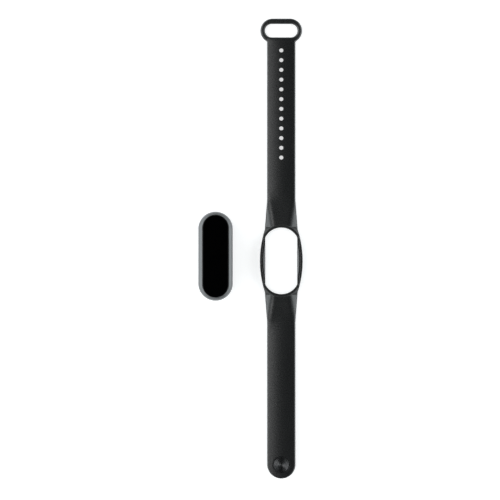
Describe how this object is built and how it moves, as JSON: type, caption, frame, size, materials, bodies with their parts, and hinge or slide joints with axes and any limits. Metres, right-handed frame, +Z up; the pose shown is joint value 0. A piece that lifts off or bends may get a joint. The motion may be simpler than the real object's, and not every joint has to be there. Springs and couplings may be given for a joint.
{
  "type": "fitness tracker band",
  "caption": "Soft wrist strap with a row of holes, a loop and a stud, and a pill-shaped tracker capsule that drops into the strap's frame.",
  "frame": {"origin": "centre of the strap's capsule opening, on the table plane", "axes": "+Y along the strap to the loop, +Z up out of the strap's outer face, +X to the strap's right"},
  "size_m": [0.0551, 0.2434, 0.0125],
  "materials": {
    "strap_rubber": "matt moulded silicone",
    "stud_metal": "turned dark metal cap",
    "post_metal": "smooth",
    "cover_glass": "gloss black",
    "housing_plastic": "satin graphite paint",
    "lower_plastic": "matt black",
    "foam": "soft foam",
    "film": "clear amber film",
    "adhesive": "tape",
    "display": "dark panel",
    "flex": "amber flex circuit",
    "board": "green solder mask",
    "chip": "black moulded package",
    "shield": "tin plated",
    "gold": "gold plated",
    "cell": "laminated foil pouch",
    "wire": "insulated wire",
    "steel": "plated",
    "tungsten": "dense sintered metal",
    "boot": "soft rubber",
    "led": "clear emitter",
    "window": "polished dark window"
  },
  "bodies": {
    "strap_frame": {"strap_frame": "strap_rubber"},
    "loop_arm_01": {"loop_arm_01": "strap_rubber"},
    "loop_arm_02": {"loop_arm_02": "strap_rubber"},
    "loop_arm_03": {"loop_arm_03": "strap_rubber"},
    "loop_arm_04": {"loop_arm_04": "strap_rubber"},
    "loop_arm_05": {"loop_arm_05": "strap_rubber"},
    "loop_arm_06": {"loop_arm_06": "strap_rubber"},
    "loop_arm_07": {"loop_arm_07": "strap_rubber"},
    "loop_arm_08": {"loop_arm_08": "strap_rubber"},
    "loop_arm_09": {"loop_arm_09": "strap_rubber"},
    "loop_arm_10": {"loop_arm_10": "strap_rubber"},
    "strap_loop": {"strap_loop": "strap_rubber"},
    "tail_arm_01": {"tail_arm_01": "strap_rubber"},
    "tail_arm_02": {"tail_arm_02": "strap_rubber"},
    "tail_arm_03": {"tail_arm_03": "strap_rubber"},
    "tail_arm_04": {"tail_arm_04": "strap_rubber"},
    "tail_arm_05": {"tail_arm_05": "strap_rubber"},
    "tail_arm_06": {"tail_arm_06": "strap_rubber"},
    "tail_arm_07": {"tail_arm_07": "strap_rubber"},
    "tail_arm_08": {"tail_arm_08": "strap_rubber"},
    "tail_arm_09": {"tail_arm_09": "strap_rubber"},
    "tail_tip": {"tail_tip": "strap_rubber"},
    "stud": {"stud_cap": "stud_metal", "stud_post": "post_metal"},
    "docking_carrier": {"motor_can": "steel"},
    "capsule": {"cover_glass": "cover_glass", "glass_adhesive": "foam", "touch_film": "film", "display_panel": "display", "display_foam": "foam", "display_flex": "flex", "upper_housing": "housing_plastic", "lower_housing": "lower_plastic", "housing_gasket": "foam", "inner_chassis": "lower_plastic", "main_board": "board", "processor": "chip", "memory_chip": "chip", "power_chip": "chip", "motion_sensor": "chip", "radio_module": "shield", "antenna_strip": "gold", "board_screws": "steel", "battery_cell": "cell", "battery_tape": "adhesive", "battery_lead": "wire", "motor_boot": "boot", "sensor_board": "board", "green_lights": "led", "photodiode": "chip", "light_baffle": "foam", "sensor_window": "window", "charge_contacts": "gold", "charge_magnet": "steel"},
    "motor_weight": {"motor_rotor": "tungsten"}
  },
  "joints": [
    {"name": "curl_loop_arm", "type": "hinge", "parent": "strap_frame", "child": "loop_arm_01", "pos_m": [0, 0.021, 0.00105], "axis": [-1, 0, 0], "range_deg": [0, 20.41], "stiffness_Nm_per_rad": 0.03},
    {"name": "loop_bend_02", "type": "hinge", "parent": "loop_arm_01", "child": "loop_arm_02", "pos_m": [0, 0.0273, 0.00105], "axis": [-1, 0, 0], "range_deg": [0, 21.9]},
    {"name": "loop_bend_03", "type": "hinge", "parent": "loop_arm_02", "child": "loop_arm_03", "pos_m": [0, 0.0345, 0.00105], "axis": [-1, 0, 0], "range_deg": [0, 22.5]},
    {"name": "loop_bend_04", "type": "hinge", "parent": "loop_arm_03", "child": "loop_arm_04", "pos_m": [0, 0.0418, 0.00105], "axis": [-1, 0, 0], "range_deg": [0, 25.5]},
    {"name": "loop_bend_05", "type": "hinge", "parent": "loop_arm_04", "child": "loop_arm_05", "pos_m": [0, 0.05212, 0.00105], "axis": [-1, 0, 0], "range_deg": [0, 27]},
    {"name": "loop_bend_06", "type": "hinge", "parent": "loop_arm_05", "child": "loop_arm_06", "pos_m": [0, 0.06244, 0.00105], "axis": [-1, 0, 0], "range_deg": [0, 23.8]},
    {"name": "loop_bend_07", "type": "hinge", "parent": "loop_arm_06", "child": "loop_arm_07", "pos_m": [0, 0.07276, 0.00105], "axis": [-1, 0, 0], "range_deg": [0, 20.4]},
    {"name": "loop_bend_08", "type": "hinge", "parent": "loop_arm_07", "child": "loop_arm_08", "pos_m": [0, 0.08308, 0.00105], "axis": [-1, 0, 0], "range_deg": [0, 17.1]},
    {"name": "loop_bend_09", "type": "hinge", "parent": "loop_arm_08", "child": "loop_arm_09", "pos_m": [0, 0.0934, 0.00105], "axis": [-1, 0, 0], "range_deg": [0, 14.1]},
    {"name": "loop_bend_10", "type": "hinge", "parent": "loop_arm_09", "child": "loop_arm_10", "pos_m": [0, 0.10372, 0.00105], "axis": [-1, 0, 0], "range_deg": [0, 12.9]},
    {"name": "loop_bend_11", "type": "hinge", "parent": "loop_arm_10", "child": "strap_loop", "pos_m": [0, 0.11404, 0.00105], "axis": [-1, 0, 0], "range_deg": [-20.7, 0]},
    {"name": "curl_tail_arm", "type": "hinge", "parent": "strap_frame", "child": "tail_arm_01", "pos_m": [0, -0.021, 0.00105], "axis": [1, 0, 0], "range_deg": [0, 23.86], "stiffness_Nm_per_rad": 0.03},
    {"name": "tail_bend_02", "type": "hinge", "parent": "tail_arm_01", "child": "tail_arm_02", "pos_m": [0, -0.0273, 0.00127], "axis": [1, 0, 0], "range_deg": [0, 23.1]},
    {"name": "tail_bend_03", "type": "hinge", "parent": "tail_arm_02", "child": "tail_arm_03", "pos_m": [0, -0.03449, 0.00152], "axis": [1, 0, 0], "range_deg": [0, 23]},
    {"name": "tail_bend_04", "type": "hinge", "parent": "tail_arm_03", "child": "tail_arm_04", "pos_m": [0, -0.04179, 0.00177], "axis": [1, 0, 0], "range_deg": [0, 24.5]},
    {"name": "tail_bend_05", "type": "hinge", "parent": "tail_arm_04", "child": "tail_arm_05", "pos_m": [0, -0.05173, 0.00211], "axis": [1, 0, 0], "range_deg": [0, 24.4]},
    {"name": "tail_bend_06", "type": "hinge", "parent": "tail_arm_05", "child": "tail_arm_06", "pos_m": [0, -0.06168, 0.00246], "axis": [1, 0, 0], "range_deg": [0, 20.7]},
    {"name": "tail_bend_07", "type": "hinge", "parent": "tail_arm_06", "child": "tail_arm_07", "pos_m": [0, -0.07162, 0.0028], "axis": [1, 0, 0], "range_deg": [0, 17.7]},
    {"name": "tail_bend_08", "type": "hinge", "parent": "tail_arm_07", "child": "tail_arm_08", "pos_m": [0, -0.08156, 0.00314], "axis": [1, 0, 0], "range_deg": [0, 15.6]},
    {"name": "tail_bend_09", "type": "hinge", "parent": "tail_arm_08", "child": "tail_arm_09", "pos_m": [0, -0.09151, 0.00349], "axis": [1, 0, 0], "range_deg": [0, 12.4]},
    {"name": "tail_bend_10", "type": "hinge", "parent": "tail_arm_09", "child": "tail_tip", "pos_m": [0, -0.10145, 0.00383], "axis": [1, 0, 0], "range_deg": [0, 5.4]},
    {"name": "stud_spin", "type": "hinge", "parent": "tail_tip", "child": "stud", "pos_m": [0, -0.10775, 0.00405], "axis": [0, 0.0346, 0.9994], "continuous": true},
    {"name": "capsule_dock", "type": "hinge", "parent": "strap_frame", "child": "docking_carrier", "pos_m": [-0.01736, 0.01465, 0.0061], "axis": [0.0719, 0.9974, 0], "range_deg": [0, 176.71]},
    {"name": "capsule_level", "type": "hinge", "parent": "docking_carrier", "child": "capsule", "pos_m": [-0.0347, 0.0159, 0.0071], "axis": [0.0719, 0.9974, 0], "range_deg": [-178, 0]},
    {"name": "motor_spin", "type": "hinge", "parent": "capsule", "child": "motor_weight", "pos_m": [-0.0347, 0.0159, 0.0071], "axis": [0.0719, 0.9974, 0], "continuous": true}
  ],
  "couplings": [
    {"joint": "loop_bend_02", "follows": "curl_loop_arm", "ratio": 1.05},
    {"joint": "loop_bend_03", "follows": "curl_loop_arm", "ratio": 1.0808},
    {"joint": "loop_bend_04", "follows": "curl_loop_arm", "ratio": 1.2273},
    {"joint": "loop_bend_05", "follows": "curl_loop_arm", "ratio": 1.3028},
    {"joint": "loop_bend_06", "follows": "curl_loop_arm", "ratio": 1.1436},
    {"joint": "loop_bend_07", "follows": "curl_loop_arm", "ratio": 0.97648},
    {"joint": "loop_bend_08", "follows": "curl_loop_arm", "ratio": 0.81529},
    {"joint": "loop_bend_09", "follows": "curl_loop_arm", "ratio": 0.66879},
    {"joint": "loop_bend_10", "follows": "curl_loop_arm", "ratio": 0.61244},
    {"joint": "loop_bend_11", "follows": "curl_loop_arm", "ratio": -0.99314},
    {"joint": "tail_bend_02", "follows": "curl_tail_arm", "ratio": 0.94799},
    {"joint": "tail_bend_03", "follows": "curl_tail_arm", "ratio": 0.94631},
    {"joint": "tail_bend_04", "follows": "curl_tail_arm", "ratio": 1.0083},
    {"joint": "tail_bend_05", "follows": "curl_tail_arm", "ratio": 1.0033},
    {"joint": "tail_bend_06", "follows": "curl_tail_arm", "ratio": 0.84741},
    {"joint": "tail_bend_07", "follows": "curl_tail_arm", "ratio": 0.72378},
    {"joint": "tail_bend_08", "follows": "curl_tail_arm", "ratio": 0.63329},
    {"joint": "tail_bend_09", "follows": "curl_tail_arm", "ratio": 0.50036},
    {"joint": "tail_bend_10", "follows": "curl_tail_arm", "ratio": 0.20661},
    {"joint": "capsule_level", "follows": "capsule_dock", "ratio": -1}
  ]
}
